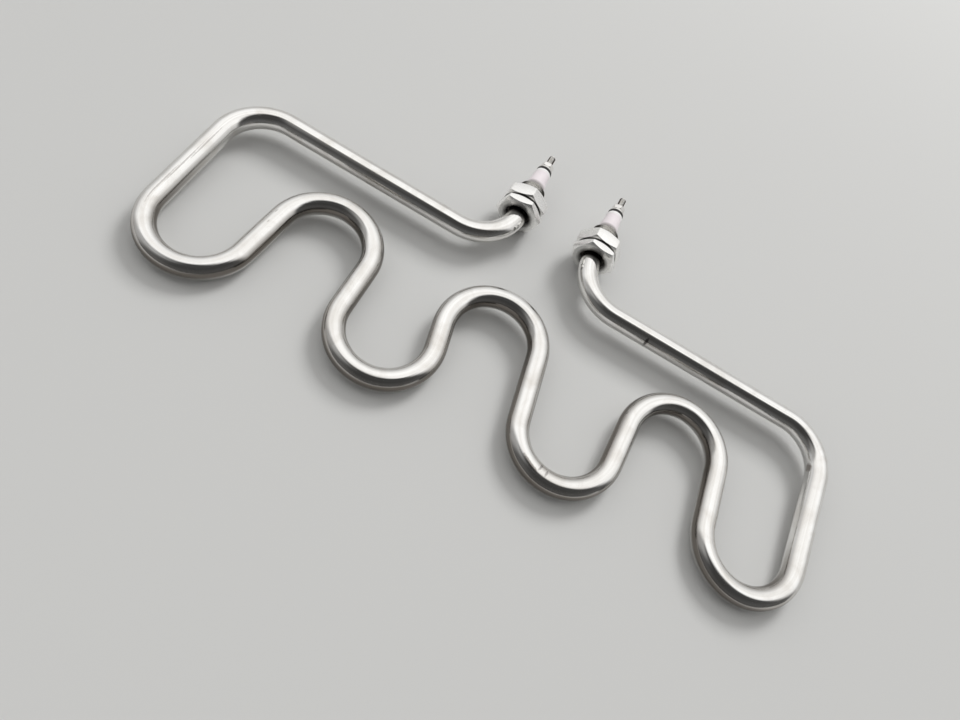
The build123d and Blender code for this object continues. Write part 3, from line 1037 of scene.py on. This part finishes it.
def fired_steatite():
    finish, tree, surface = start_finish("fired_steatite", 0.0, 0.35)
    give(tree, surface.inputs["Coat Weight"], 0.35)
    give(tree, surface.inputs["Coat Roughness"], 0.15)
    place = kept_place(tree, "from_axis")
    up = split(tree, place)["Y"]
    body = noise(tree, place, 220.0, 3.0)
    specks = noise(tree, place, 2600.0, 2.0)
    turning = use_effect(tree, turning_marks, place, Rings=3000.0)
    ceramic = blend(tree, body, (0.86, 0.80, 0.82, 1), (0.78, 0.71, 0.74, 1))
    top = insulator_start + insulator_length
    # The rim is made paler: a painted highlight on its rounded edge
    rim = spread(tree, up, 0.0, 1.0, *[top - below for below in insulator_rim_highlight])
    ceramic = blend(tree, rim, ceramic, (0.86, 0.85, 0.84, 1))
    # The foot is darkened with painted shade where it sits on the tube's end
    foot_shade = spread(tree, up, 0.85, 0.0, *[insulator_start + above for above in insulator_foot_shade])
    ceramic = blend(tree, foot_shade, ceramic, (0.26, 0.24, 0.23, 1))
    ceramic = blend(tree, spread(tree, specks, 0.0, 0.5, 0.66, 0.8), ceramic, (0.52, 0.44, 0.42, 1))
    height = combine(tree, "ADD", times(tree, turning["Marks"], 0.6), times(tree, specks, 0.4))
    dress(tree, surface, ceramic, spread(tree, body, 0.28, 0.45), height, 0.3, 0.00004)
    return finish


insulator_corners = [
    (pin_hole, insulator_start - spigot_length, 0.0001),
    (spigot_radius, insulator_start - spigot_length, 0.0003),
    (spigot_radius, insulator_start, 0),
    (insulator_base, insulator_start, 0.0004),
    (insulator_base - 0.00012, insulator_start + 0.0016, 0.0008),
    (insulator_top + 0.00008, insulator_end - 0.0030, 0.0010),
    (insulator_top, insulator_end, 0.0008),
    (pin_hole, insulator_end, 0.0002),
]
add_turned_pieces(
    "insulator", insulator_corners, 64, fired_steatite(), "insulator_ceramic", "ceramic_insulator", 6
)

# ---------------------------------------------------------------------------------------------
# Pin seal rings. Small black rubber rings that close the gap round each pin on top of its
# insulator. They bulge slightly under the washer.
# ---------------------------------------------------------------------------------------------
seal_ring_start = 0.0317
seal_ring_thickness = 0.0018
seal_ring_radius = 0.0047
seal_ring_corners = [
    (pin_hole, seal_ring_start, 0.0001),
    (seal_ring_radius, seal_ring_start, 0.00045),
    (seal_ring_radius, seal_ring_start + seal_ring_thickness, 0.00045),
    (pin_hole, seal_ring_start + seal_ring_thickness, 0.0001),
]
add_turned_pieces("seal_ring", seal_ring_corners, 48, rubber_finish, "gasket_rubber", "pin_seal_ring")

# ---------------------------------------------------------------------------------------------
# Flat washers. Stamped from bright stainless sheet, so one edge is rolled over and the other is
# crisp. They spread the pull of the terminal nut over the seal ring.
# ---------------------------------------------------------------------------------------------
washer_start = 0.0335
washer_end = washer_start + 0.0010
washer_radius = 0.0045
washer_hole = 0.00215
washer_finish = turned_steel("washer_steel", (0.90, 0.89, 0.87, 1), (0.74, 0.72, 0.69, 1), 12000.0, 0.20)
washer_corners = [
    (washer_hole, washer_start, 0.00008),
    (washer_radius, washer_start, 0.00008),
    (washer_radius, washer_end, 0.00028),
    (washer_hole, washer_end, 0.00015),
]
add_turned_pieces("washer", washer_corners, 56, washer_finish, "terminal_steel", "flat_washer")

# ---------------------------------------------------------------------------------------------
# Spring washers. One turn of square spring wire, pressed flat under the terminal nut. The slit
# between its ends is cut on a slant.
# ---------------------------------------------------------------------------------------------
spring_start = 0.0345
spring_thickness = 0.0011
spring_radius = 0.0038
spring_slit = 0.0005
spring_slant = radians(25)
spring_steps = 60
spring_turned = {"left": 70.0, "right": 115.0}
spring_finish = turned_steel("spring_steel", (0.82, 0.81, 0.79, 1), (0.62, 0.60, 0.57, 1), 7000.0, 0.26)
for side, x in sides:
    section = ease_outline(
        [
            (washer_hole, 0.0, 0.00012),
            (spring_radius, 0.0, 0.00012),
            (spring_radius, spring_thickness, 0.00012),
            (washer_hole, spring_thickness, 0.00012),
        ]
    )
    shape = bmesh.new()
    slices = []
    for step in range(spring_steps + 1):
        loop = []
        for radius, height in section:
            gap = spring_slit / 2 / cos(spring_slant) / radius
            lean = (height - spring_thickness / 2) * tan(spring_slant) / radius
            angle = radians(spring_turned[side]) + lean + gap + (2 * pi - 2 * gap) * step / spring_steps
            place = (x + radius * cos(angle), spring_start + height, radius * sin(angle))
            loop.append(shape.verts.new(place))
        slices.append(loop)
    for low, high in pairwise(slices):
        for index in range(len(low)):
            after = (index + 1) % len(low)
            shape.faces.new((low[index], low[after], high[after], high[index]))
    shape.faces.new(slices[0])
    shape.faces.new(slices[-1][::-1])
    spring_mesh = plain_mesh("spring", shape, x)
    spring_mesh.materials.append(spring_finish)
    add_piece(f"{side}_spring", spring_mesh, "terminal_steel", f"{side}_spring_washer")

# ---------------------------------------------------------------------------------------------
# Terminal nuts. Small M4 hexagon nuts, 7 mm across flats, chamfered on both faces. They hold the
# washers down on the insulator, and the wire's eye is clamped on them by a second nut.
# ---------------------------------------------------------------------------------------------
terminal_nut_start = 0.0356
terminal_nut_thickness = 0.0032
terminal_nut_flats = 0.0070
terminal_nut_face = 0.0066
terminal_nut_hole = pin_radius - pin_thread_depth + 0.00006
terminal_nut_countersink = 0.0005
terminal_nut_easing = 0.00010
terminal_nut_rows = 24
terminal_nut_thread_inset = 0.0001
terminal_nut_turned = {"left": 8.0, "right": 22.0}
terminal_nut_finish = turned_steel(
    "terminal_nut_steel", (0.92, 0.91, 0.89, 1), (0.78, 0.75, 0.72, 1), 9000.0, 0.21
)
for side, x in sides:
    blank = hexagon_nut(
        "terminal_nut",
        x,
        terminal_nut_start,
        terminal_nut_thickness,
        terminal_nut_flats,
        terminal_nut_face,
        terminal_nut_hole,
        terminal_nut_countersink,
        terminal_nut_turned[side],
        terminal_nut_rows,
        terminal_nut_easing,
    )
    thread_start = terminal_nut_start + terminal_nut_thread_inset
    thread_end = terminal_nut_start + terminal_nut_thickness - terminal_nut_thread_inset
    thread = (thread_start, thread_end, pin_thread_pitch, terminal_nut_hole, pin_thread_depth)
    nut_mesh = thread_mesh("terminal_nut", blank, x, *thread, True, terminal_nut_finish)
    add_piece(f"{side}_terminal_nut_piece", nut_mesh, "terminal_steel", f"{side}_terminal_nut")

# ---------------------------------------------------------------------------------------------
# Studio. The element lies on a pale floor, on its front bends and the lowest corner of a wall
# nut. A broad soft light hangs over it and behind it, and the side towards the camera is dark.
# ---------------------------------------------------------------------------------------------
pale_grey = (0.59, 0.59, 0.58, 1)
floor_front = (-0.1375, -0.0060)
floor_back = (0.0040, -0.01366)
floor_slope = (floor_back[1] - floor_front[1]) / (floor_back[0] - floor_front[0])
floor_reach = 6.0
floor_gap = 0.00003
floor_shape = bmesh.new()
floor_corners = []
for corner_x, corner_y in ((-1, -1), (1, -1), (1, 1), (-1, 1)):
    place_y = corner_y * floor_reach
    height = floor_front[1] + (place_y - floor_front[0]) * floor_slope - floor_gap
    floor_corners.append(floor_shape.verts.new((corner_x * floor_reach, place_y, height)))
floor_shape.faces.new(floor_corners)
floor_mesh = bpy.data.meshes.new("floor")
floor_shape.to_mesh(floor_mesh)
floor_shape.free()
floor_finish, floor_tree, floor_surface = start_finish("floor_card", 0.0, 0.9)
dress(floor_tree, floor_surface, pale_grey)
floor_mesh.materials.append(floor_finish)
add_object("floor", floor_mesh)

studio = bpy.data.worlds.new("studio")
bpy.context.scene.world = studio
studio.use_nodes = True
studio_tree = studio.node_tree
studio_tree.nodes.clear()
way = split(studio_tree, add_node(studio_tree, "ShaderNodeTexCoord").outputs["Generated"])


def ease(value, low, high, start, end):
    """As spread, but eased at both ends."""
    return spread(studio_tree, value, low, high, start, end, "SMOOTHSTEP")


to_the_right = combine(studio_tree, "MAXIMUM", way["X"], 0.0)
depth = combine(studio_tree, "SUBTRACT", way["Y"], times(studio_tree, to_the_right, 0.13))
behind = ease(depth, 0.0, 1.0, -0.16, 0.08)
overhead = ease(way["Z"], 0.56, 1.12, 0.05, 0.88)
left_side = ease(way["X"], 0.34, 0.0, -0.60, -0.10)
left_side = times(studio_tree, left_side, ease(way["Y"], 0.12, 1.0, -0.62, -0.28))
low_front = ease(way["Z"], 0.05, 0.0, 0.2, 0.8)
in_front = combine(studio_tree, "ADD", left_side, low_front)
in_front = combine(studio_tree, "ADD", in_front, 0.050)
light = {0: behind, 2: in_front, 3: overhead}
light = add_node(studio_tree, "ShaderNodeMix", light, data_type="FLOAT").outputs[0]
room = {"Color": (1.0, 0.995, 0.985, 1), "Strength": light}
room = add_node(studio_tree, "ShaderNodeBackground", room).outputs[0]
backdrop = {"Color": pale_grey, "Strength": 1.0}
backdrop = add_node(studio_tree, "ShaderNodeBackground", backdrop).outputs[0]
seen = add_node(studio_tree, "ShaderNodeLightPath").outputs["Is Camera Ray"]
chosen = add_node(studio_tree, "ShaderNodeMixShader", {0: seen, 1: room, 2: backdrop})
add_node(studio_tree, "ShaderNodeOutputWorld", {"Surface": chosen.outputs[0]})

for name, place, size, power in (
    ("key_lamp", (0.45, 2.10, 1.60), 0.9, 44.0),
    ("fill_lamp", (-0.5, -1.2, 0.8), 0.9, 3.0),
):
    lamp = bpy.data.lights.new(name, "AREA")
    lamp.shape = "SQUARE"
    lamp.size = size
    lamp.energy = power
    stand = add_object(name, lamp)
    stand.location = place
    stand.rotation_euler = (Vector((0, -0.06, 0)) - Vector(place)).to_track_quat("-Z", "Y").to_euler()
    stand.visible_glossy = False

lens = bpy.data.cameras.new("camera")
lens.sensor_width = 36.0
lens.lens = 25.062
lens.clip_start = 0.01
camera = add_object("camera", lens)
camera.matrix_world = Matrix(
    (
        (0.86192541, -0.50683069, -0.01439554, -0.0067597),
        (0.44409701, 0.76833087, -0.46091812, -0.2558990),
        (0.24466799, 0.39088403, 0.88732590, 0.3030728),
        (0, 0, 0, 1),
    )
)
bpy.context.scene.camera = camera
bpy.context.scene.view_settings.view_transform = "Standard"
